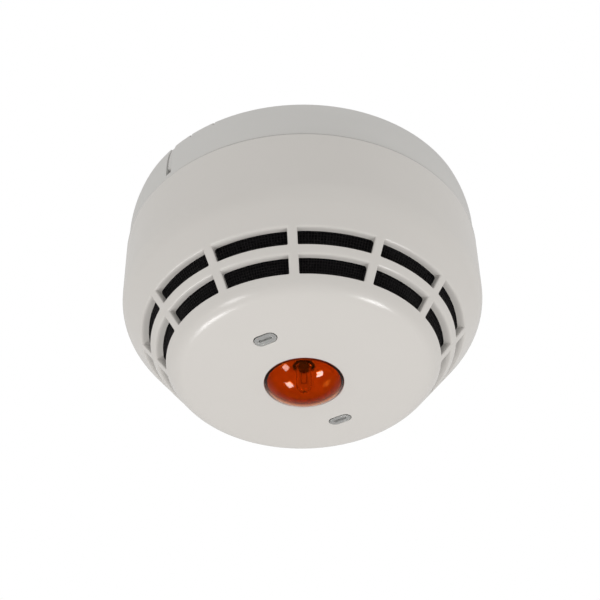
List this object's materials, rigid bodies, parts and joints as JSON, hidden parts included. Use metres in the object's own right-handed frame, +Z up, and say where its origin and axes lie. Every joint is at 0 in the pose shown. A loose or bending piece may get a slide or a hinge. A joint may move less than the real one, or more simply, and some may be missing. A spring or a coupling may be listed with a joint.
{
  "type": "heat detector",
  "caption": "Round ceiling heat detector: vented white head that twists off a wired base, with an orange signal lens in the middle of its domed face and clear status windows.",
  "frame": {"origin": "centre of the flat back face of the base, on the ceiling", "axes": "+Z points up into the ceiling, the detector hangs towards -Z; one rib between the vents faces -Y and +X is to the right of it"},
  "size_m": [0.1168, 0.1168, 0.0714],
  "materials": {
    "cover_moulding": "fine satin white ABS, very lightly textured, soft gloss on the fillets",
    "base_moulding": "satin white ABS, slightly greyer than the head",
    "inner_moulding": "plain white moulding with a dull tool finish",
    "vent_mesh": "fine black insect mesh",
    "circuit_board": "green solder mask over woven laminate",
    "black_plastic": "black moulding compound, dull",
    "contact_brass": "stamped, tin-bright at the contact faces",
    "zinc_steel": "zinc plated",
    "capacitor_sleeve": "shrink sleeve, satin",
    "thermistor_epoxy": "dipped epoxy, glossy",
    "amber_lens": "transparent orange-red polycarbonate, polished",
    "gasket_rubber": "matt black",
    "reflector_coat": "bright white moulding, satin inside the bowl",
    "lamp_glass": "clear drawn glass",
    "tungsten_wire": "dark drawn wire",
    "clear_guide": "clear moulded acrylic, polished end",
    "led_body": "red diffused epoxy"
  },
  "bodies": {
    "base": {"base_shell": "base_moulding", "base_contact_1": "contact_brass", "base_contact_2": "contact_brass", "base_contact_3": "contact_brass", "base_contact_4": "contact_brass", "clamp_plate_1": "zinc_steel", "clamp_plate_2": "zinc_steel", "clamp_plate_3": "zinc_steel", "clamp_plate_4": "zinc_steel", "terminal_screw_1": "zinc_steel", "terminal_screw_2": "zinc_steel", "terminal_screw_3": "zinc_steel", "terminal_screw_4": "zinc_steel"},
    "lock_slide": {"lock_slide": "base_moulding"},
    "head": {"contact_blade_1": "contact_brass", "contact_blade_2": "contact_brass", "contact_blade_3": "contact_brass", "contact_blade_4": "contact_brass", "chassis_screw_1": "zinc_steel", "chassis_screw_2": "zinc_steel", "chassis_screw_3": "zinc_steel", "head_chassis": "inner_moulding", "head_cover": "cover_moulding", "vent_screen": "vent_mesh", "main_board": "circuit_board", "front_board": "circuit_board", "sensor_deck": "black_plastic", "board_link": "black_plastic", "controller_chip": "black_plastic", "lamp_holder": "black_plastic", "lamp_base": "black_plastic", "capacitor_1": "capacitor_sleeve", "capacitor_2": "capacitor_sleeve", "thermistor_1": "thermistor_epoxy", "thermistor_2": "thermistor_epoxy", "signal_lens": "amber_lens", "lens_gasket": "gasket_rubber", "reflector": "reflector_coat", "lamp_glass": "lamp_glass", "lamp_filament": "tungsten_wire", "light_guide_1": "clear_guide", "light_guide_2": "clear_guide", "indicator_led_1": "led_body", "indicator_led_2": "led_body"}
  },
  "joints": [
    {"name": "head_twist", "type": "hinge", "parent": "base", "child": "head", "pos_m": [0, 0, 0], "axis": [0, 0, -1], "range_deg": [0, 17]},
    {"name": "lock_travel", "type": "slide", "parent": "base", "child": "lock_slide", "axis": [0, 0, -1], "range_m": [0, 0.0024]}
  ]
}
